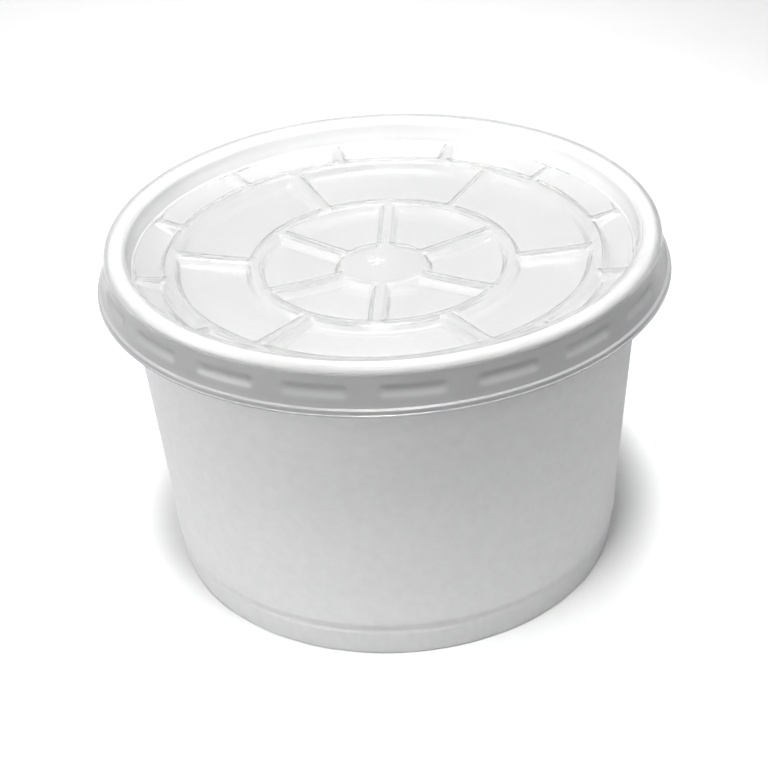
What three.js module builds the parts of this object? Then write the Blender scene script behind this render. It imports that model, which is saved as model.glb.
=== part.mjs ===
import * as THREE from "three";

// Takeaway soup container: a paper tub with a rolled rim and a clear press-on lid.
// Millimetres. The tub stands on z = 0, its axis is the z axis and the front looks along -y.

// Tub: outer wall radius at height z is FOOT_RADIUS + WALL_SLOPE * z.
const FOOT_RADIUS = 48.8;
const WALL_SLOPE = 0.0755;
const WALL = 0.45;
const BAND_THICKNESS = 1.3;
const BAND_HEIGHT = 6.6;
const CREASE_DEPTH = 0.18;
const FLOOR_Z = 6.3;
const FLOOR_THICKNESS = 0.5;
const ROLL_Z = 73.1;
const ROLL_RADIUS = 1.55;
// Angle round the roll where its underside meets the outer wall; it ends at 180, inside.
const ROLL_FROM = -138;
const ROLL_STEPS = 10;
const TUB_COLUMNS = 80;

// Lid: wall thickness, crown that covers the rolled rim, skirt, flange and grip dents.
const SHEET = 0.4;
const CROWN_RADIUS = 55.51;
const CROWN_Z = 73.1;
const CROWN_WIDTH = 2.36;
const CROWN_HEIGHT = 2.3;
const CROWN_STEPS = 8;
const CROWN_INNER_STEPS = 6;
const SKIRT_TOP = [57.85, 72.7];
const SKIRT_FOOT = [58.95, 67.7];
const FLANGE_RADIUS = 60;
const FLANGE_TOP = 66.95;
const FLANGE_FOOT = 65.75;
const FLANGE_ROUND = 0.4;
const PLUG_FOOT = [52.5, 69.9];

const DENTS = 20;
const DENT_TURN = -86;
const DENT_DEPTH = 0.7;
const DENT_LENGTH = [5.0, 6.3];
const DENT_ROWS = [[71.8, 0], [71.1, 1], [70.0, 1], [69.2, 0]];

// Panel: a shallow dish with raised ridges between recessed pockets.
const DISH_Z = 65.5;
const DISH_CURVE = 0.00172;
const POCKET_DEPTH = 1.55;
const BEVEL = 0.9;
const DISC_RADIUS = 9.4;
const RING_A = [25.9, 28.2];
const RING_B = [43.5, 46.0];
const PATTERN_TURN = -4.4;
const NUB_CENTRE = [-1.8, 1.1];
const NUB_RADIUS = 1.1;
const NUB_HEIGHT = 0.35;
// The under face's bevels lie this much further into the ridges, for an even sheet thickness.
const UNDER_SHIFT = 0.23;

const rad = (degrees) => (degrees * Math.PI) / 180;
const wallRadius = (z) => FOOT_RADIUS + WALL_SLOPE * z;
const ridgeZ = (r) => DISH_Z + DISH_CURVE * r * r;

// A ring of points round a centre: each keeps its column angle, which the stitching follows.
function ring(angles, radius, height, centre = [0, 0]) {
  return angles.map((turn, i) => {
    const r = typeof radius === "function" ? radius(i) : radius;
    const z = typeof height === "function" ? height(i) : height;
    const at = [centre[0] + r * Math.cos(rad(turn)), centre[1] + r * Math.sin(rad(turn)), z];
    return { turn, at };
  });
}

const evenAngles = (count, start = 0) =>
  Array.from({ length: count }, (_, i) => start + (360 * i) / count);

// One closed surface that grows ring by ring, with a fan of triangles at each end.
class Skin {
  constructor() {
    this.points = [];
    this.turns = [];
    this.faces = [];
  }

  add(ringPoints) {
    const first = this.points.length;
    ringPoints.forEach(({ turn, at }) => {
      this.points.push(at);
      this.turns.push(turn);
    });
    return ringPoints.map((_, i) => first + i);
  }

  addPole(x, y, z) {
    return this.add([{ turn: 0, at: [x, y, z] }])[0];
  }

  fan(pole, row) {
    const n = row.length;
    row.forEach((a, i) => this.faces.push([pole, a, row[(i + 1) % n]]));
  }

  // Joins two rings whose columns turn the same way; their counts may differ.
  stitch(rowA, rowB) {
    const middle = (row, i) => {
      const next = i + 1 < row.length ? this.turns[row[i + 1]] : this.turns[row[0]] + 360;
      return (this.turns[row[i]] + next) / 2;
    };
    let i = 0;
    let j = 0;
    while (i < rowA.length || j < rowB.length) {
      const a = rowA[i % rowA.length];
      const b = rowB[j % rowB.length];
      if (j >= rowB.length || (i < rowA.length && middle(rowA, i) <= middle(rowB, j))) {
        this.faces.push([a, b, rowA[(i + 1) % rowA.length]]);
        i++;
      } else {
        this.faces.push([a, b, rowB[(j + 1) % rowB.length]]);
        j++;
      }
    }
  }

  geometry() {
    const shape = new THREE.BufferGeometry();
    shape.setAttribute("position", new THREE.Float32BufferAttribute(this.points.flat(), 3));
    shape.setIndex(this.faces.flat());
    shape.computeVertexNormals();
    return shape;
  }
}

// Half outline of the tub, from the underside of the floor out, over the rim and back inside.
function tubProfile() {
  const outline = [[0, FLOOR_Z - FLOOR_THICKNESS]];
  const bandInner = wallRadius(FLOOR_Z) - BAND_THICKNESS;
  outline.push([bandInner, FLOOR_Z - FLOOR_THICKNESS]);
  outline.push([FOOT_RADIUS - BAND_THICKNESS, 0.25]);
  outline.push([FOOT_RADIUS - BAND_THICKNESS + 0.3, 0]);
  outline.push([FOOT_RADIUS - 0.3, 0]);
  outline.push([FOOT_RADIUS, 0.35]);
  outline.push([wallRadius(BAND_HEIGHT - 1.1) - CREASE_DEPTH / 3, BAND_HEIGHT - 1.1]);
  outline.push([wallRadius(BAND_HEIGHT) - CREASE_DEPTH, BAND_HEIGHT]);
  outline.push([wallRadius(BAND_HEIGHT + 0.9), BAND_HEIGHT + 0.9]);
  const rollMiddle = wallRadius(ROLL_Z) - WALL + ROLL_RADIUS;
  for (let i = 0; i <= ROLL_STEPS; i++) {
    const a = rad(ROLL_FROM + ((180 - ROLL_FROM) * i) / ROLL_STEPS);
    outline.push([rollMiddle + ROLL_RADIUS * Math.cos(a), ROLL_Z + ROLL_RADIUS * Math.sin(a)]);
  }
  const floorEdge = wallRadius(FLOOR_Z + 0.9) - WALL;
  outline.push([floorEdge, FLOOR_Z + 0.9]);
  outline.push([floorEdge - 0.7, FLOOR_Z]);
  outline.push([0, FLOOR_Z]);
  return outline;
}

function makeTub() {
  const outline = tubProfile();
  const skin = new Skin();
  const angles = evenAngles(TUB_COLUMNS);
  const rows = outline.slice(1, -1).map(([r, z]) => skin.add(ring(angles, r, z)));
  const below = skin.addPole(0, 0, outline[0][1]);
  const above = skin.addPole(0, 0, outline[outline.length - 1][1]);
  skin.fan(below, [...rows[0]].reverse());
  for (let i = 1; i < rows.length; i++) skin.stitch(rows[i], rows[i - 1]);
  skin.fan(above, rows[rows.length - 1]);
  return skin.geometry();
}

// Panel columns: around every spoke there are two edges of its top and two feet of its bevels.
// The flag is true on the edges of the top, which stay at ridge height.
function spokeColumns({ spokes, first, between, width }, r, shift) {
  const top = (Math.asin((width / 2 - shift) / r) * 180) / Math.PI;
  const foot = (Math.asin((width / 2 - shift + BEVEL) / r) * 180) / Math.PI;
  const pitch = 360 / spokes;
  const columns = [];
  for (let k = 0; k < spokes; k++) {
    const middle = first + PATTERN_TURN + pitch * k;
    columns.push([middle - top, true], [middle + top, true], [middle + foot, false]);
    for (let m = 1; m <= between; m++) {
      const open = pitch - 2 * foot;
      columns.push([middle + foot + (open * m) / (between + 1), false]);
    }
    columns.push([middle + pitch - foot, false]);
  }
  return columns;
}

const INNER = { spokes: 6, first: -90, between: 8, width: 2.5 };
const MIDDLE = { spokes: 6, first: -120, between: 8, width: 2.5 };
const OUTER = { spokes: 12, first: -105, between: 2, width: 2.0 };

// Panel rows: zone, radius, how far the pockets lie below the ridges there, and the
// direction of the under face's shift.
const PANEL_ROWS = [
  [INNER, DISC_RADIUS, 0, -1],
  [INNER, DISC_RADIUS + BEVEL, POCKET_DEPTH, -1],
  [INNER, RING_A[0] - BEVEL, POCKET_DEPTH, 1],
  [INNER, RING_A[0], 0, 1],
  [MIDDLE, RING_A[1], 0, -1],
  [MIDDLE, RING_A[1] + BEVEL, POCKET_DEPTH, -1],
  [MIDDLE, RING_B[0] - BEVEL, POCKET_DEPTH, 1],
  [MIDDLE, RING_B[0], 0, 1],
  [OUTER, RING_B[1], 0, -1],
  [OUTER, RING_B[1] + BEVEL, POCKET_DEPTH, -1],
  [OUTER, PLUG_FOOT[0] - 0.4, 0.25, 1],
];

function panelRing([zone, r, drop, side], lift, shift) {
  const rowRadius = r + side * shift;
  const columns = spokeColumns(zone, rowRadius, shift);
  const angles = columns.map(([angle]) => angle);
  return ring(angles, rowRadius, (i) => ridgeZ(r) + lift - (columns[i][1] ? 0 : drop));
}

// Angles of the wall columns: each grip dent has two ends, two end feet and a middle. The second
// number is 1 on the columns that are dented.
function dentColumns() {
  const [end, foot] = DENT_LENGTH;
  const columns = [];
  for (let k = 0; k < DENTS; k++) {
    const middle = DENT_TURN + (360 / DENTS) * k;
    columns.push([middle - foot, 0], [middle - end, 1], [middle, 1]);
    columns.push([middle + end, 1], [middle + foot, 0]);
  }
  return columns;
}

function skirtRadius(z) {
  const [topR, topZ] = SKIRT_TOP;
  const [footR, footZ] = SKIRT_FOOT;
  return topR + ((footR - topR) * (topZ - z)) / (topZ - footZ);
}

// Half outline of the lid outside the panel. The upper face has no inset and the under face is
// inset by the sheet thickness. The last number of a point is 1 on the rows that are dented.
function lidOutline(steps, inset) {
  const outline = [[PLUG_FOOT[0] + inset, PLUG_FOOT[1] - inset / 2, 0]];
  for (let i = 0; i <= steps; i++) {
    const a = rad(180 - (180 * i) / steps);
    const across = (CROWN_WIDTH - inset) * Math.cos(a);
    const up = (CROWN_HEIGHT - inset) * Math.sin(a);
    outline.push([CROWN_RADIUS + across, CROWN_Z + up, 0]);
  }
  outline.push([SKIRT_TOP[0] - inset, SKIRT_TOP[1], 0]);
  DENT_ROWS.forEach(([z, dented]) => outline.push([skirtRadius(z) - inset, z, dented]));
  outline.push([SKIRT_FOOT[0] - inset, SKIRT_FOOT[1] - inset / 2, 0]);
  outline.push([FLANGE_RADIUS - FLANGE_ROUND - inset / 2, FLANGE_TOP - inset, 0]);
  outline.push([FLANGE_RADIUS - inset, FLANGE_TOP - FLANGE_ROUND - inset / 2, 0]);
  outline.push([FLANGE_RADIUS - inset, FLANGE_FOOT, 0]);
  return outline;
}

function lidWallRings(outline) {
  const columns = dentColumns();
  const angles = columns.map(([angle]) => angle);
  return outline.map(([r, z, dented]) =>
    ring(angles, (i) => r - dented * columns[i][1] * DENT_DEPTH, z));
}

// The gate mark on the disc: a small raised ring with a hollow, listed from its middle outward.
function nubRings() {
  const base = ridgeZ(0);
  return [
    [0.35, 0.4],
    [0.55, 1],
    [1, 1],
    [1.3, 0],
  ].map(([share, rise]) =>
    ring(evenAngles(12, -90), NUB_RADIUS * share, base + NUB_HEIGHT * rise, NUB_CENTRE));
}

function makeLid() {
  const skin = new Skin();
  const topPole = skin.addPole(...NUB_CENTRE, ridgeZ(0) + NUB_HEIGHT * 0.4);
  const lowPole = skin.addPole(0, 0, ridgeZ(0) - SHEET);
  const upper = [
    ...nubRings(),
    ...PANEL_ROWS.map((row) => panelRing(row, 0, 0)),
    ...lidWallRings(lidOutline(CROWN_STEPS, 0)),
  ].map((points) => skin.add(points));
  const lower = [
    ...PANEL_ROWS.map((row) => panelRing(row, -SHEET, UNDER_SHIFT)),
    ...lidWallRings(lidOutline(CROWN_INNER_STEPS, SHEET)),
  ].map((points) => skin.add(points));
  skin.fan(topPole, upper[0]);
  for (let i = 1; i < upper.length; i++) skin.stitch(upper[i - 1], upper[i]);
  skin.stitch(upper[upper.length - 1], lower[lower.length - 1]);
  for (let i = lower.length - 1; i > 0; i--) skin.stitch(lower[i], lower[i - 1]);
  skin.fan(lowPole, [...lower[0]].reverse());
  return skin.geometry();
}

function named(name, geometry, colour, roughness) {
  const material = new THREE.MeshStandardMaterial({ color: colour, roughness, metalness: 0 });
  const mesh = new THREE.Mesh(geometry, material);
  mesh.name = name;
  return mesh;
}

const group = new THREE.Group();
group.name = "takeaway_soup_container";
group.add(named("tub", makeTub(), 0xf2f2f0, 0.6));
group.add(named("lid", makeLid(), 0xeff1f1, 0.25));

export default group;
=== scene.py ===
import math

import bpy
import numpy as np
from mathutils import Matrix, Vector

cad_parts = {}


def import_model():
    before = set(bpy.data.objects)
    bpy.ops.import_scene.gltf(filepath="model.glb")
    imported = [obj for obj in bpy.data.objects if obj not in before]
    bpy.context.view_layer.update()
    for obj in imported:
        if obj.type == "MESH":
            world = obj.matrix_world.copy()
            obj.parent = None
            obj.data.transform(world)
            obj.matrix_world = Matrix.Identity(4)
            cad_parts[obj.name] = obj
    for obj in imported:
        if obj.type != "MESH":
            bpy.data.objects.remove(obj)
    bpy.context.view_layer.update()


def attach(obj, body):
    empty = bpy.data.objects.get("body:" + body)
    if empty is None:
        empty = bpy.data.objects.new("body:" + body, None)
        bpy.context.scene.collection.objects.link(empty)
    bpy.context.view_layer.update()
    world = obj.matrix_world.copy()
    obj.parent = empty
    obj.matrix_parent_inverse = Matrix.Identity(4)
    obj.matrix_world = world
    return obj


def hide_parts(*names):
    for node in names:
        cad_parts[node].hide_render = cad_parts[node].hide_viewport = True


# Takeaway soup container: white paper tub with a clear press-on lid.
# Shapes are worked out in millimetres, as in the part, and become metres in make_object.
MM = 0.001

# Largest share of a side that a rounded corner may take.
FILLET_SHARE = 0.48

# Tub wall. Its outer radius at height z is FOOT_RADIUS + WALL_SLOPE * z.
FOOT_RADIUS = 48.8
WALL_SLOPE = 0.0755
WALL = 0.45
TUB_COLUMNS = 720
TUB_SHARP_DEGREES = 50

# Foot band with a rounded foot, which leans out by BAND_LEAN over its height. Above it the wall
# has a crease, and a bulge that starts, is widest and ends at BULGE_HEIGHTS. Values that end in
# ROWS, ROW_STEP and ROW_GAP only place the rows of the mesh.
BAND_THICKNESS = 1.3
BAND_HEIGHT = 6.6
BAND_LEAN = 0.25
BAND_ROW_STEP = 0.6
BAND_ROW_GAP = 1.1
FOOT_INNER_TOP = 0.6
FOOT_OUTER_TOP = 0.9
FOOT_FILLETS = (0, 0.4, 0.42, 0)
CREASE_DEPTH = 0.16
CREASE_HALF = 0.8
CREASE_FILLETS = (0, 0.5, 0.6, 0)
BULGE = 0.3
BULGE_HEIGHTS = (7.0, 8.4, 14.5)
BULGE_ROW_STEP = 0.45
WALL_ROWS = 22
WALL_ROW_GAP = 1.2

# Floor disc of the tub, the radii of the rows in its two faces, and its rounded edges. The inner
# wall bends in by CORNER_LEAN over CORNER_HEIGHT above the floor.
FLOOR_Z = 6.3
FLOOR_THICKNESS = 0.5
UNDER_RADII = (4.0, 20.0, 40.0)
UNDER_FILLET = 0.5
UNDER_ROW_GAP = 1.6
FLOOR_RADII = (30.0, 15.0, 4.0)
FLOOR_FILLET = 0.9
FLOOR_ROW_GAP = 4.0
CORNER_HEIGHT = 1.4
CORNER_LEAN = 0.2

# Rolled rim: it turns from ROLL_FROM degrees, where the outer wall meets its underside, out and
# over to its inner side.
ROLL_Z = 73.1
ROLL_RADIUS = 1.55
ROLL_FROM = -138
ROLL_STEPS = 24
INSIDE_ROWS = 12
INSIDE_SPAN = (ROLL_Z - 2.0, FLOOR_Z + 2.5)

# Side seam: the angle of its edge, the step there, the degrees that the step and the fading
# behind it take, and the share of the step that shows on each part of the outline.
SEAM_ANGLE = 97
SEAM_STEP = 0.3
SEAM_EDGE = 0.4
SEAM_FADE = 34
SEAM_SHARE = {"foot": 0.4, "band": 0.7, "wall": 1.0, "rim": 0.6, "inside": -0.5}

# Crimps in the foot band. Slow waves round the tub, each with a random start within FULL_TURN
# radians, make their strength and spacing uneven. They fade away between two heights.
CRIMP_COUNT = 132
CRIMP_DEPTH = 0.07
CRIMP_WAVES = (3, 5, 9, 14, 23)
CRIMP_UNEVEN = 0.22
CRIMP_DRIFT = 0.5
CRIMP_LEAST = 0.05
CRIMP_FADE = (7.6, 6.0)
CRIMP_SEED = 7
FULL_TURN = 6.28

# Lid walls. The plug wall starts at PLUG_FOOT, and the crown is half an ellipse over the rim.
# PLUG_ENDS are the steps from the plug's foot to the end of the panel and to the wall.
SHEET = 0.4
LID_COLUMNS = 360
LID_SHARP_DEGREES = 35
PLUG_FOOT = (52.5, 69.9)
PLUG_FILLET = 0.5
PLUG_ENDS = ((-0.6, 0.02), (0.1, 1.0))
PLUG_ROWS = (0.5, 0.75)
CROWN_RADIUS = 55.51
CROWN_Z = 73.1
CROWN_WIDTH = 2.36
CROWN_HEIGHT = 2.3
CROWN_STEPS = (20, 14)
SKIRT_TOP = (57.85, 72.7)
SKIRT_FOOT = (59.1, 66.98)
SKIRT_ROWS = np.arange(72.2, 68.7, -0.2)
SKIRT_LAST_ROW = 68.2
FLANGE_RADIUS = 60.0
FLANGE_STEPS = ((59.72, 66.86), (59.74, 66.02), (60.0, 65.9))
FLANGE_FOOT = 65.7
FLANGE_FILLETS = (0, 0.12, 0.2, 0.1, 0.1, 0)
FLANGE_UNDER_FILLETS = (0, 0.2, 0.2, 0)

# Grip dents in the skirt, between the heights in DENT_SPAN. DENT_CELL has the angles of the
# columns round one dent, in degrees, which are close together at its ends.
DENTS = 20
DENT_TURN = -86
DENT_DEPTH = 0.42
DENT_MIDDLE = 70.15
DENT_HALF = (6.35, 1.32)
DENT_CORNER = 1.15
DENT_SLOPE = 1.05
DENT_SHOULDER = 0.3
DENT_SPAN = (68.6, 72.4)
DENT_CELL = (-6.7, -6.2, -5.7, -5.2, -4.6, -4.0, -2.4, -0.8, 0.8,
             2.4, 4.0, 4.6, 5.2, 5.7, 6.2, 6.7, 8.2, 9.8)

# Lid panel: a shallow dish with raised ridges between recessed pockets. UNDER_SHIFT moves the
# lower face's bevels sideways, so that the sheet keeps its thickness on them.
DISH_Z = 65.5
DISH_CURVE = 0.00172
POCKET_DEPTH = 1.55
BEVEL = 0.9
CORNER = 0.7
SHOULDER = 0.25
DISC_RADIUS = 9.4
RING_A = (25.9, 28.2)
RING_B = (43.5, 46.0)
PATTERN_TURN = -4.4
UNDER_SHIFT = 0.23
ZONES = {
    "inner": {"edges": (DISC_RADIUS, RING_A[0]), "spokes": 6, "first": -90, "width": 2.5},
    "middle": {"edges": (RING_A[1], RING_B[0]), "spokes": 6, "first": -120, "width": 2.5},
    "outer": {"edges": (RING_B[1], 80.0), "spokes": 12, "first": -105, "width": 2.0},
}

# Share of their depth that the outer pockets lose on the way to the plug wall.
OUTER_RISE = 0.9

# Rows and columns of the panel. BEVEL_STEPS are places across a bevel, in bevel widths.
BEVEL_STEPS = (-0.25, 0.0, 0.25, 0.5, 0.75, 1.0, 1.25)
POCKET_MARGIN = 1.5
POCKET_ROWS = 5
OUTER_RADII = (48.2, 49.4, 50.6, 51.6)
DISC_RADII = (*np.arange(0.25, 3.7, 0.25), 5.0, 6.5, 8.0)
DISC_UNDER_RADII = (3.0, 6.0, 8.0)
TURN_SEARCH = 40

# Moulding mark near the middle of the disc: a small raised ring with a hollow in it.
NUB_CENTRE = (-1.3, 1.1)
NUB_RADIUS = 1.35
NUB_EDGE = 0.5
NUB_HEIGHT = 0.42
NUB_STRETCH = 1.15
NUB_HOLLOW_RADIUS = 0.4
NUB_HOLLOW_SHARE = 0.7

# Looks of the lid's sheet in four regions: the panel, the plug wall, the crown and the skirt
# with the flange. The crown starts at CROWN_START from the axis, and the skirt between the
# heights in SKIRT_FADE. The first tuple is the grey of each region: the sheet's own near-white
# on the panel and the plug wall, and a darker grey on the crown, and much darker on the skirt,
# that is painted shade; on the skirt it stands for the shadowed gap behind the clear sheet.
# CLEAR is the share of light that goes through without being scattered, and PASSES the share
# of the lamps' light that each face lets by.
SHEET_GREY_AND_PAINTED_SHADE = (0.98, 0.97, 0.88, 0.52)
CLEAR = (0.92, 0.6, 0.85, 0.3)
PASSES = (0.654, 0.95, 0.8, 0.6)
CROWN_START = 53.7
SKIRT_FADE = (73.9, 72.5)
PLASTIC_ROUGHNESS = (0.18, 0.26)
PLASTIC_IOR = 1.49

# The haze of the sheet changes its grey by these factors, and the moulding mark is less clear.
HAZE_TONE = (0.985, 1.01)
NUB_CLEAR = 0.82

# Looks of the paper and of the studio's floor. A noise moves between two greys, over the middle
# part of its own range.
PAPER_GREYS = (0.855, 0.9)
PAPER_ROUGHNESS = (0.48, 0.62)
PAPER_SPECULAR = 0.35
FLOOR_GREYS = (0.91, 0.92)
FLOOR_ROUGHNESS = 0.9
NOISE_MIDDLE = (0.3, 0.7)

# Studio floor in metres: flat as far as CURVE_START behind the object, then curved up to a wall.
FLOOR_REACH = 12.0
CURVE_START = 1.2
CURVE_RADIUS = 0.9
CURVE_ANGLES = np.linspace(0.2, 1.57, 8)
BACK_WALL_TOP = 3.5

# Soft boxes: name, place and target in metres, size, spread in degrees and power in watts.
LAMPS = (
    ("overhead", (-0.05, 0.17, 1.1), (-0.05, 0.17, 0.0), (0.5, 0.4), 35, 0.62),
    ("top_front", (-0.03, -0.27, 1.1), (-0.03, 0.03, 0.0), (0.35, 0.3), 22, 0.33),
    ("left_fill", (-1.0, -0.3, 0.5), (0.0, 0.0, 0.04), (0.7, 0.7), 180, 3.3),
    ("right_fill", (0.9, -0.2, 0.7), (0.0, 0.0, 0.05), (0.5, 0.5), 120, 0.3),
    ("front_fill", (-0.1, -0.9, 0.9), (0.0, 0.0, 0.04), (0.4, 0.4), 35, 0.06),
    ("back_wash", (0.09, 0.74, 0.8), (0.09, 0.74, 0.0), (2.0, 0.4), 75, 3.8),
    ("backdrop", (-0.1, 1.0, 1.6), (-0.1, 1.9, 0.5), (1.6, 0.4), 80, 6.0),
)
WORLD_STRENGTH = 0.11

# Camera fitted to the photo: position in millimetres, look-down angle and roll in degrees, lens
# and sensor width in millimetres, and the nearest and farthest distance in metres.
CAMERA_PLACE = (-1.293, -322.090, 236.180)
CAMERA_DOWN = 31.93
CAMERA_ROLL = -3.21
CAMERA_LENS = 80.84
CAMERA_SENSOR = 36
CAMERA_CLIP = (0.01, 20)


# Helpers for both shapes.


def ramp(t, shoulder=SHOULDER):
    """0 below 0, 1 above 1 and straight between, with rounded shoulders."""
    def knee(x):
        bend = (x + shoulder) ** 2 / (4 * shoulder)
        return np.where(x < -shoulder, 0.0, np.where(x > shoulder, x, bend))
    return knee(t) - knee(t - 1)


def soft_min(a, b, blend):
    """The smaller of two distances, rounded over where they meet."""
    overlap = np.maximum(blend - np.abs(a - b), 0) / blend
    return np.minimum(a, b) - overlap * overlap * blend / 4


def fillet(points, radii, steps=4):
    """A polyline with its inner corners rounded; radii has one number for each point."""
    out = [points[0]]
    for i in range(1, len(points) - 1):
        here = np.array(points[i])
        before = np.array(points[i - 1]) - here
        after = np.array(points[i + 1]) - here
        before_length = np.linalg.norm(before)
        after_length = np.linalg.norm(after)
        reach = min(radii[i], before_length * FILLET_SHARE, after_length * FILLET_SHARE)
        start = here + before / before_length * reach
        end = here + after / after_length * reach
        for k in range(steps + 1):
            t = k / steps
            point = (1 - t) ** 2 * start + 2 * t * (1 - t) * here + t * t * end
            out.append(tuple(point))
    out.append(points[-1])
    return out


def ring(angles, radius, height):
    """One row of points from angles in degrees and a radius and height for each or for all."""
    turn = np.radians(angles)
    radius = np.broadcast_to(radius, turn.shape)
    height = np.broadcast_to(height, turn.shape)
    return np.stack([radius * np.cos(turn), radius * np.sin(turn), height], axis=1)


def skin_faces(rows, columns, first_pole, last_pole):
    """Quads between rows of equal length, and a fan at each end."""
    faces = []
    for i in range(rows - 1):
        here = i * columns
        after = here + columns
        for j in range(columns):
            k = (j + 1) % columns
            faces.append((here + j, after + j, after + k, here + k))
    top = (rows - 1) * columns
    for j in range(columns):
        k = (j + 1) % columns
        faces.append((first_pole, j, k))
        faces.append((last_pole, top + k, top + j))
    return faces


def make_object(name, points, faces, sharp_degrees):
    """A smooth-shaded mesh object in metres from points in millimetres."""
    mesh = bpy.data.meshes.new(name)
    mesh.from_pydata((np.asarray(points) * MM).tolist(), [], faces)
    mesh.validate()
    mesh.polygons.foreach_set("use_smooth", [True] * len(mesh.polygons))
    mesh.set_sharp_from_angle(angle=math.radians(sharp_degrees))
    mesh.update()
    piece = bpy.data.objects.new(name, mesh)
    bpy.context.scene.collection.objects.link(piece)
    return piece


# Tub. Each row of its outline is a radius, a height, the share of the seam and of the crimps.


def wall_radius(z):
    return FOOT_RADIUS + WALL_SLOPE * z


def bulge(z):
    """The soft swelling of the wall just above the foot band."""
    low, crest, high = BULGE_HEIGHTS
    share = (z - low) / (crest - low) if z < crest else (high - z) / (high - crest)
    share = min(max(share, 0), 1)
    return BULGE * share * share * (3 - 2 * share)


def band_radius(z):
    return wall_radius(z) + BAND_LEAN * (z / BAND_HEIGHT - 0.5)


def underside_rows():
    """The recessed underside of the floor disc, as far as the inner side of the foot band."""
    under = FLOOR_Z - FLOOR_THICKNESS
    corner = wall_radius(FLOOR_Z) - BAND_THICKNESS
    foot_inner = FOOT_RADIUS - BAND_THICKNESS
    points = [(corner - UNDER_ROW_GAP, under), (corner, under), (foot_inner, FOOT_INNER_TOP)]
    rows = [(r, under, 0, 0) for r in UNDER_RADII]
    return rows + [(r, z, 0, 0) for r, z in fillet(points, (0, UNDER_FILLET, 0))]


def foot_rows():
    """The rounded foot that the tub stands on."""
    foot_inner = FOOT_RADIUS - BAND_THICKNESS
    points = [(foot_inner, FOOT_INNER_TOP), (foot_inner, 0.0),
              (band_radius(0), 0.0), (band_radius(FOOT_OUTER_TOP), FOOT_OUTER_TOP)]
    return [(r, z, SEAM_SHARE["foot"], 0.5) for r, z in fillet(points, FOOT_FILLETS)[1:]]


def band_rows():
    """The outside of the foot band and the crease above it."""
    rows = []
    for z in np.arange(FOOT_OUTER_TOP + 0.5, BAND_HEIGHT - BAND_ROW_GAP, BAND_ROW_STEP):
        rows.append((band_radius(z), z, SEAM_SHARE["band"], 1.0))
    low = BAND_HEIGHT - CREASE_HALF
    high = BAND_HEIGHT + CREASE_HALF
    points = [(band_radius(FOOT_OUTER_TOP), FOOT_OUTER_TOP), (band_radius(low), low),
              (wall_radius(BAND_HEIGHT) - CREASE_DEPTH, BAND_HEIGHT),
              (wall_radius(high) + bulge(high), high)]
    gone, full = CRIMP_FADE
    for r, z in fillet(points, CREASE_FILLETS)[1:]:
        rows.append((r, z, SEAM_SHARE["wall"], float(np.clip((gone - z) / (gone - full), 0, 1))))
    return rows


def outer_wall_rows():
    bulge_end = BULGE_HEIGHTS[2]
    neck = ROLL_Z + ROLL_RADIUS * math.sin(math.radians(ROLL_FROM))
    heights = list(np.arange(BAND_HEIGHT + WALL_ROW_GAP, bulge_end, BULGE_ROW_STEP))
    heights += list(np.linspace(bulge_end + 0.5, neck - WALL_ROW_GAP, WALL_ROWS))
    return [(wall_radius(z) + bulge(z), z, SEAM_SHARE["wall"], 0) for z in heights]


def rim_rows():
    """The rolled rim; its first two rows still have the whole seam of the wall."""
    middle = wall_radius(ROLL_Z) - WALL + ROLL_RADIUS
    rows = []
    for i in range(ROLL_STEPS + 1):
        turn = math.radians(ROLL_FROM + (180 - ROLL_FROM) * i / ROLL_STEPS)
        radius = middle + ROLL_RADIUS * math.cos(turn)
        height = ROLL_Z + ROLL_RADIUS * math.sin(turn)
        rows.append((radius, height, SEAM_SHARE["rim" if i > 1 else "wall"], 0))
    return rows


def inside_rows():
    """The inner wall and the upper face of the floor disc."""
    rows = []
    for z in np.linspace(*INSIDE_SPAN, INSIDE_ROWS):
        rows.append((wall_radius(z) - WALL, z, SEAM_SHARE["inside"], 0))
    low = FLOOR_Z + CORNER_HEIGHT
    edge = wall_radius(low) - WALL
    points = [(edge, low), (edge - CORNER_LEAN, FLOOR_Z), (edge - FLOOR_ROW_GAP, FLOOR_Z)]
    rows += [(r, z, 0, 0) for r, z in fillet(points, (0, FLOOR_FILLET, 0))]
    return rows + [(r, FLOOR_Z, 0, 0) for r in FLOOR_RADII]


def seam_profile(angles):
    """The lap of the side seam: a sharp step at its edge that fades away round the tub."""
    past = (angles - SEAM_ANGLE) % 360
    step = np.where(past > 180, np.clip((360 - past) / SEAM_EDGE, 0, 1), 1)
    lap = np.where(past < SEAM_FADE, 0.5 + 0.5 * np.cos(np.pi * past / SEAM_FADE), 0)
    return lap * step


def crimp_profile(angles, rng):
    """Fine upright wrinkles of uneven strength in the foot band."""
    turn = np.radians(angles)
    strength = np.full(angles.shape, 0.5)
    phase = np.zeros(angles.shape)
    for waves in CRIMP_WAVES:
        strength += CRIMP_UNEVEN * np.sin(waves * turn + rng.uniform(0, FULL_TURN))
        phase += CRIMP_DRIFT * np.sin(waves * turn + rng.uniform(0, FULL_TURN))
    return np.clip(strength, CRIMP_LEAST, 1) * (0.5 + 0.5 * np.sin(CRIMP_COUNT * turn + phase))


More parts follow.
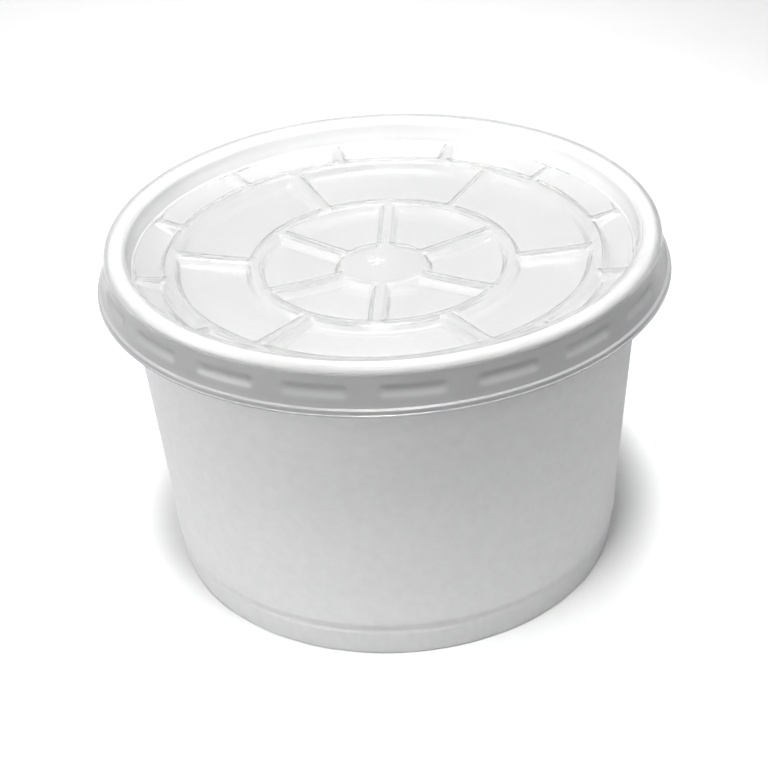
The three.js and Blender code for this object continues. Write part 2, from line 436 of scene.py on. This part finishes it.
def make_tub():
    angles = np.arange(TUB_COLUMNS) * 360.0 / TUB_COLUMNS
    seam = seam_profile(angles) * SEAM_STEP
    crimp = crimp_profile(angles, np.random.default_rng(CRIMP_SEED)) * CRIMP_DEPTH
    outline = underside_rows() + foot_rows() + band_rows()
    outline += outer_wall_rows() + rim_rows() + inside_rows()
    rows = [ring(angles, r + seam * lap - crimp * wrinkled, z) for r, z, lap, wrinkled in outline]
    poles = [[[0, 0, outline[0][1]]], [[0, 0, outline[-1][1]]]]
    count = len(rows) * TUB_COLUMNS
    faces = skin_faces(len(rows), TUB_COLUMNS, count, count + 1)
    faces = [tuple(reversed(face)) for face in faces]
    return make_object("tub_paper", np.concatenate(rows + poles), faces, TUB_SHARP_DEGREES)


# Lid. It is one skin of rings: out over the upper face and back under the lower face.


def ridge_z(r):
    return DISH_Z + DISH_CURVE * r * r


def zone_angles(zone, r, shift):
    """Columns of one row: close together across each spoke's bevels and even between spokes."""
    info = ZONES[zone]
    half = info["width"] / 2 - shift
    offsets = np.array([half + BEVEL * t for t in BEVEL_STEPS])
    offsets = np.concatenate([-offsets[::-1], [0.0], offsets])
    across = np.degrees(np.arcsin(offsets / max(r, DISC_RADIUS)))
    pitch = 360 / info["spokes"]
    between = LID_COLUMNS // info["spokes"] - len(across)
    gap = np.linspace(across[-1], pitch + across[0], between + 2)[1:-1]
    cell = np.concatenate([across, gap])
    turns = [info["first"] + PATTERN_TURN + pitch * k + cell for k in range(info["spokes"])]
    return np.concatenate(turns)


def pocket_depth(zone, r, angles, shift):
    """How far the panel lies below its ridges."""
    info = ZONES[zone]
    inner, outer = info["edges"]
    pitch = 360 / info["spokes"]
    off = (angles - info["first"] - PATTERN_TURN + pitch / 2) % pitch - pitch / 2
    from_spoke = np.abs(r * np.sin(np.radians(off))) - (info["width"] / 2 - shift)
    distance = soft_min(from_spoke, r - inner + shift, CORNER)
    distance = soft_min(distance, outer - r + shift, CORNER)
    depth = POCKET_DEPTH
    if zone == "outer":
        start = RING_B[1] + BEVEL
        run = (r - start) / (PLUG_FOOT[0] - start)
        depth = POCKET_DEPTH * (1 - OUTER_RISE * np.clip(run, 0, 1))
    return depth * ramp(distance / BEVEL)


def panel_radii(shift):
    """(zone, radius) of every row of the panel outside the disc."""
    rows = []
    for zone, info in ZONES.items():
        inner, outer = info["edges"]
        rows += [(zone, inner - shift + BEVEL * t) for t in BEVEL_STEPS]
        if zone == "outer":
            rows += [(zone, r) for r in OUTER_RADII]
            continue
        start = inner + BEVEL * POCKET_MARGIN
        end = outer - BEVEL * POCKET_MARGIN
        rows += [(zone, r) for r in np.linspace(start, end, POCKET_ROWS + 2)[1:-1]]
        rows += [(zone, outer + shift - BEVEL * t) for t in reversed(BEVEL_STEPS)]
    return rows


def nub_height(x, y):
    away = np.hypot(x - NUB_CENTRE[0], (y - NUB_CENTRE[1]) * NUB_STRETCH)
    rise = 1 - ramp((away - NUB_RADIUS) / NUB_EDGE)
    hollow = 1 - ramp((away - NUB_HOLLOW_RADIUS) / NUB_HOLLOW_RADIUS)
    return NUB_HEIGHT * (rise - NUB_HOLLOW_SHARE * hollow)


def disc_rows(radii, lift):
    rows = []
    for r in radii:
        rows.append(ring(zone_angles("inner", DISC_RADIUS, 0), r, ridge_z(r) + lift))
    return rows


def panel_rows(lift, shift):
    rows = []
    for zone, r in panel_radii(shift):
        angles = zone_angles(zone, r, shift)
        height = ridge_z(r) + lift - pocket_depth(zone, r, angles, shift)
        rows.append(ring(angles, r, height))
    return rows


def dent_columns():
    pitch = 360 / DENTS
    return np.concatenate([DENT_TURN + pitch * k + np.array(DENT_CELL) for k in range(DENTS)])


def dent_depth(angles, radius, z):
    """Rounded lozenge dents with a sloping upper and lower face."""
    pitch = 360 / DENTS
    off = (angles - DENT_TURN + pitch / 2) % pitch - pitch / 2
    along = np.abs(np.radians(off) * radius) - (DENT_HALF[0] - DENT_CORNER)
    up = abs(z - DENT_MIDDLE) - (DENT_HALF[1] - DENT_CORNER)
    outside = np.hypot(np.maximum(along, 0), max(up, 0))
    inside = np.minimum(np.maximum(along, up), 0)
    return DENT_DEPTH * ramp((DENT_CORNER - outside - inside) / DENT_SLOPE, DENT_SHOULDER)


def skirt_radius(z):
    share = (SKIRT_TOP[1] - z) / (SKIRT_TOP[1] - SKIRT_FOOT[1])
    return SKIRT_TOP[0] + (SKIRT_FOOT[0] - SKIRT_TOP[0]) * share


def crown_outline(inset, steps):
    """The arch over the rim, from its inner side to its outer side."""
    points = []
    for i in range(steps + 1):
        turn = math.pi * (1 - i / steps)
        points.append((CROWN_RADIUS + (CROWN_WIDTH - inset) * math.cos(turn),
                       CROWN_Z + (CROWN_HEIGHT - inset) * math.sin(turn)))
    return points


def plug_outline(inset, crown_start):
    """The foot of the plug wall, rounded, and the wall up to the crown."""
    foot = (PLUG_FOOT[0] + inset, PLUG_FOOT[1] - inset / 2)
    inward, outward = PLUG_ENDS
    panel_end = (PLUG_FOOT[0] + inward[0], PLUG_FOOT[1] + inward[1] - inset)
    wall_start = (foot[0] + outward[0], foot[1] + outward[1])
    points = fillet([panel_end, foot, wall_start], (0, PLUG_FILLET, 0), 3)
    for t in PLUG_ROWS:
        points.append((foot[0] + (crown_start[0] - foot[0]) * t,
                       foot[1] + (crown_start[1] - foot[1]) * t))
    return points


def flange_outline(inset):
    """The two narrow steps under the skirt, and the cut edge."""
    corner = (skirt_radius(SKIRT_LAST_ROW) - inset, SKIRT_LAST_ROW)
    foot = (SKIRT_FOOT[0] - inset, SKIRT_FOOT[1] - inset / 2)
    edge = (FLANGE_RADIUS - inset, FLANGE_FOOT)
    steps = [(r - inset, z - inset / 2) for r, z in FLANGE_STEPS]
    if inset > 0:
        return fillet([corner, foot, steps[0], edge], FLANGE_UNDER_FILLETS, 3)
    return fillet([corner, foot, *steps, edge], FLANGE_FILLETS, 3)


def wall_outline(inset, crown_steps):
    """Half outline of the lid outside the panel.

    The inset is 0 for the upper face and the sheet's thickness for the lower face.
    """
    crown = crown_outline(inset, crown_steps)
    rows = plug_outline(inset, crown[0]) + crown
    rows += [(SKIRT_TOP[0] - inset, SKIRT_TOP[1])]
    rows += [(skirt_radius(z) - inset, z) for z in SKIRT_ROWS]
    return rows + flange_outline(inset)


def wall_rows(inset, crown_steps):
    angles = dent_columns()
    low, high = DENT_SPAN
    rows = []
    for r, z in wall_outline(inset, crown_steps):
        dents = dent_depth(angles, r, z) if low < z < high and r > CROWN_RADIUS else 0
        rows.append(ring(angles, r - dents, z))
    return rows


def turned_to(row, target):
    """The row started at the column that lines up best with the target row."""
    turns = range(-TURN_SEARCH, TURN_SEARCH + 1)
    turned = [np.roll(row, -turn, axis=0) for turn in turns]
    return min(turned, key=lambda candidate: np.abs(candidate - target)[:, :2].sum())


def make_lid():
    upper = disc_rows(DISC_RADII, 0)
    for row in upper:
        row[:, 2] += nub_height(row[:, 0], row[:, 1])
    upper += panel_rows(0, 0) + wall_rows(0, CROWN_STEPS[0])
    lower = disc_rows(DISC_UNDER_RADII, -SHEET) + panel_rows(-SHEET, UNDER_SHIFT)
    lower += wall_rows(SHEET, CROWN_STEPS[1])
    rows = upper + lower[::-1]
    lined = [rows[0]]
    for row in rows[1:]:
        lined.append(turned_to(row, lined[-1]))
    poles = [[[0, 0, ridge_z(0)]], [[0, 0, ridge_z(0) - SHEET]]]
    count = len(lined) * LID_COLUMNS
    faces = skin_faces(len(lined), LID_COLUMNS, count, count + 1)
    return make_object("lid_clear", np.concatenate(lined + poles), faces, LID_SHARP_DEGREES)


# Helpers for the materials.


def new_material(name):
    material = bpy.data.materials.new(name)
    material.use_nodes = True
    nodes = material.node_tree.nodes
    shader = next(n for n in nodes if n.type == "BSDF_PRINCIPLED")
    return material, nodes, material.node_tree.links, shader


def noise(nodes, links, coords, scale, detail, roughness=0.5):
    node = nodes.new("ShaderNodeTexNoise")
    node.inputs["Scale"].default_value = scale
    node.inputs["Detail"].default_value = detail
    node.inputs["Roughness"].default_value = roughness
    links.new(coords, node.inputs["Vector"])
    return node.outputs["Fac"]


def grey_ramp(nodes, links, value, greys):
    """A colour that goes from the first grey to the second over the middle of a noise's range."""
    node = nodes.new("ShaderNodeValToRGB")
    links.new(value, node.inputs["Fac"])
    for element, place, tone in zip(node.color_ramp.elements, NOISE_MIDDLE, greys):
        element.position = place
        element.color = (tone, tone, tone, 1)
    return node.outputs["Color"]


def bump(nodes, links, height, strength, distance, normal=None):
    node = nodes.new("ShaderNodeBump")
    node.inputs["Strength"].default_value = strength
    node.inputs["Distance"].default_value = distance
    links.new(height, node.inputs["Height"])
    if normal is not None:
        links.new(normal, node.inputs["Normal"])
    return node.outputs["Normal"]


def calculate(nodes, links, operation, first, second):
    """A Math node's result; each operand is a socket or a plain number."""
    node = nodes.new("ShaderNodeMath")
    node.operation = operation
    for operand, socket in ((first, node.inputs[0]), (second, node.inputs[1])):
        if isinstance(operand, (int, float)):
            socket.default_value = operand
        else:
            links.new(operand, socket)
    return node.outputs["Value"]


def map_range(nodes, links, value, given, wanted):
    node = nodes.new("ShaderNodeMapRange")
    node.inputs["From Min"].default_value, node.inputs["From Max"].default_value = given
    node.inputs["To Min"].default_value, node.inputs["To Max"].default_value = wanted
    links.new(value, node.inputs["Value"])
    return node.outputs["Result"]


def grey(nodes, links, value):
    """A colour from one number."""
    node = nodes.new("ShaderNodeCombineColor")
    for channel in ("Red", "Green", "Blue"):
        links.new(value, node.inputs[channel])
    return node.outputs["Color"]


# Materials.


def paper_material():
    """White coated paperboard: faint cloudy mottle, fibres in the bump and a soft sheen."""
    material, nodes, links, shader = new_material("coated_paper")
    coords = nodes.new("ShaderNodeTexCoord").outputs["Object"]
    cloud = noise(nodes, links, coords, scale=420, detail=5, roughness=0.6)
    links.new(grey_ramp(nodes, links, cloud, PAPER_GREYS), shader.inputs["Base Color"])
    patch = noise(nodes, links, coords, scale=90, detail=3)
    rough = map_range(nodes, links, patch, (0, 1), PAPER_ROUGHNESS)
    links.new(rough, shader.inputs["Roughness"])
    shader.inputs["Specular IOR Level"].default_value = PAPER_SPECULAR
    fibre = noise(nodes, links, coords, scale=1400, detail=3, roughness=0.6)
    waves = noise(nodes, links, coords, scale=120, detail=2)
    wavy = bump(nodes, links, waves, strength=0.25, distance=0.0002)
    fibrous = bump(nodes, links, fibre, strength=0.3, distance=0.00005, normal=wavy)
    links.new(fibrous, shader.inputs["Normal"])
    return material


def outside_radius(nodes, links, split, radius, centre=(0, 0)):
    """1 farther than radius from an upright line and 0 nearer."""
    squares = []
    for axis, middle in zip("XY", centre):
        offset = calculate(nodes, links, "SUBTRACT", split.outputs[axis], middle * MM)
        squares.append(calculate(nodes, links, "MULTIPLY", offset, offset))
    squared = calculate(nodes, links, "ADD", *squares)
    return calculate(nodes, links, "GREATER_THAN", squared, (radius * MM) ** 2)


def lid_regions(nodes, links, split):
    """Three masks: 1 from the plug wall outwards, from the crown outwards, and on the skirt."""
    plug = outside_radius(nodes, links, split, PLUG_FOOT[0])
    crown = outside_radius(nodes, links, split, CROWN_START)
    outer = outside_radius(nodes, links, split, CROWN_RADIUS)
    low = map_range(nodes, links, split.outputs["Z"], [z * MM for z in SKIRT_FADE], (0, 1))
    return plug, crown, calculate(nodes, links, "MULTIPLY", outer, low)


def by_region(nodes, links, regions, values):
    """One value for each region, from the panel outwards."""
    total = values[0]
    for mask, before, here in zip(regions, values, values[1:]):
        change = map_range(nodes, links, mask, (0, 1), (0, here - before))
        total = calculate(nodes, links, "ADD", change, total)
    return total


def let_lamps_through(nodes, links, shader, passes):
    """Lets the lamps' light pass the thin sheet straight, as it does in real clear plastic."""
    clear = nodes.new("ShaderNodeBsdfTransparent")
    links.new(grey(nodes, links, passes), clear.inputs["Color"])
    mix = nodes.new("ShaderNodeMixShader")
    links.new(nodes.new("ShaderNodeLightPath").outputs["Is Shadow Ray"], mix.inputs["Fac"])
    links.new(shader.outputs["BSDF"], mix.inputs[1])
    links.new(clear.outputs["BSDF"], mix.inputs[2])
    output = next(n for n in nodes if n.type == "OUTPUT_MATERIAL")
    links.new(mix.outputs["Shader"], output.inputs["Surface"])


def plastic_material():
    """Clear polypropylene sheet: slightly milky, with a faint ripple from moulding."""
    material, nodes, links, shader = new_material("clear_plastic")
    coords = nodes.new("ShaderNodeTexCoord").outputs["Object"]
    split = nodes.new("ShaderNodeSeparateXYZ")
    links.new(coords, split.inputs["Vector"])
    regions = lid_regions(nodes, links, split)
    haze = noise(nodes, links, coords, scale=60, detail=3)
    rough = map_range(nodes, links, haze, (0, 1), PLASTIC_ROUGHNESS)
    links.new(rough, shader.inputs["Roughness"])
    uneven = map_range(nodes, links, haze, NOISE_MIDDLE, HAZE_TONE)
    # The sheet's grey, darkened on the crown and still more on the skirt as painted shade.
    tone = calculate(nodes, links, "MULTIPLY", by_region(nodes, links, regions, SHEET_GREY_AND_PAINTED_SHADE), uneven)
    links.new(grey(nodes, links, tone), shader.inputs["Base Color"])
    off_nub = outside_radius(nodes, links, split, NUB_RADIUS + NUB_EDGE, NUB_CENTRE)
    nub_clear = map_range(nodes, links, off_nub, (0, 1), (NUB_CLEAR, 1))
    clear = by_region(nodes, links, regions, CLEAR)
    clear = calculate(nodes, links, "MULTIPLY", clear, nub_clear)
    links.new(clear, shader.inputs["Transmission Weight"])
    shader.inputs["IOR"].default_value = PLASTIC_IOR
    let_lamps_through(nodes, links, shader, by_region(nodes, links, regions, PASSES))
    ripple = noise(nodes, links, coords, scale=220, detail=2)
    rippled = bump(nodes, links, ripple, strength=0.06, distance=0.0001)
    links.new(rippled, shader.inputs["Normal"])
    return material


def floor_material():
    material, nodes, links, shader = new_material("pale_floor")
    coords = nodes.new("ShaderNodeTexCoord").outputs["Object"]
    grain = noise(nodes, links, coords, scale=40, detail=2)
    links.new(grey_ramp(nodes, links, grain, FLOOR_GREYS), shader.inputs["Base Color"])
    shader.inputs["Roughness"].default_value = FLOOR_ROUGHNESS
    return material


# Studio: floor, lamps and camera.


def make_floor():
    """A wide floor that curves up far behind the object."""
    rows = [(-FLOOR_REACH, 0.0), (CURVE_START, 0.0)]
    for turn in CURVE_ANGLES:
        rows.append((CURVE_START + CURVE_RADIUS * math.sin(turn),
                     CURVE_RADIUS - CURVE_RADIUS * math.cos(turn)))
    rows.append((CURVE_START + CURVE_RADIUS, BACK_WALL_TOP))
    points = [(x, y, z) for y, z in rows for x in (-FLOOR_REACH, FLOOR_REACH)]
    faces = [(2 * i, 2 * i + 1, 2 * i + 3, 2 * i + 2) for i in range(len(rows) - 1)]
    mesh = bpy.data.meshes.new("floor")
    mesh.from_pydata(points, [], faces)
    mesh.polygons.foreach_set("use_smooth", [True] * len(mesh.polygons))
    floor = bpy.data.objects.new("floor", mesh)
    bpy.context.scene.collection.objects.link(floor)
    mesh.materials.append(floor_material())


def area_light(name, place, target, size, spread, power):
    """A soft box; spread is the full angle in degrees that its light keeps to."""
    light = bpy.data.lights.new(name, "AREA")
    light.shape = "RECTANGLE"
    light.size, light.size_y = size
    light.spread = math.radians(spread)
    light.energy = power
    lamp = bpy.data.objects.new(name, light)
    lamp.location = place
    way = Vector(target) - Vector(place)
    lamp.rotation_euler = way.to_track_quat("-Z", "Y").to_euler()
    bpy.context.scene.collection.objects.link(lamp)


def light_scene():
    world = bpy.data.worlds.new("studio")
    world.use_nodes = True
    background = world.node_tree.nodes["Background"]
    background.inputs["Color"].default_value = (1, 1, 1, 1)
    background.inputs["Strength"].default_value = WORLD_STRENGTH
    bpy.context.scene.world = world
    for lamp in LAMPS:
        area_light(*lamp)


def place_camera():
    down = math.radians(CAMERA_DOWN)
    roll = math.radians(CAMERA_ROLL)
    forward = Vector((0, math.cos(down), -math.sin(down)))
    right = Vector((1, 0, 0))
    up = right.cross(forward)
    across = math.cos(roll) * right + math.sin(roll) * up
    upward = -math.sin(roll) * right + math.cos(roll) * up
    turn = Matrix((across, upward, -forward)).transposed().to_4x4()
    camera = bpy.data.cameras.new("camera")
    camera.lens = CAMERA_LENS
    camera.sensor_width = CAMERA_SENSOR
    camera.clip_start, camera.clip_end = CAMERA_CLIP
    eye = bpy.data.objects.new("camera", camera)
    eye.matrix_world = Matrix.Translation(Vector(CAMERA_PLACE) * MM) @ turn
    bpy.context.scene.collection.objects.link(eye)
    bpy.context.scene.camera = eye


# The whole scene.


def dress(piece, material, node):
    """Gives a piece its material, and has it ride on the body and stand for its CAD node."""
    piece.data.materials.append(material)
    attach(piece, "root")
    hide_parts(node)


def main():
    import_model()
    place_camera()
    dress(make_tub(), paper_material(), "tub")
    dress(make_lid(), plastic_material(), "lid")
    make_floor()
    light_scene()
    bpy.context.scene.view_settings.view_transform = "Standard"


main()
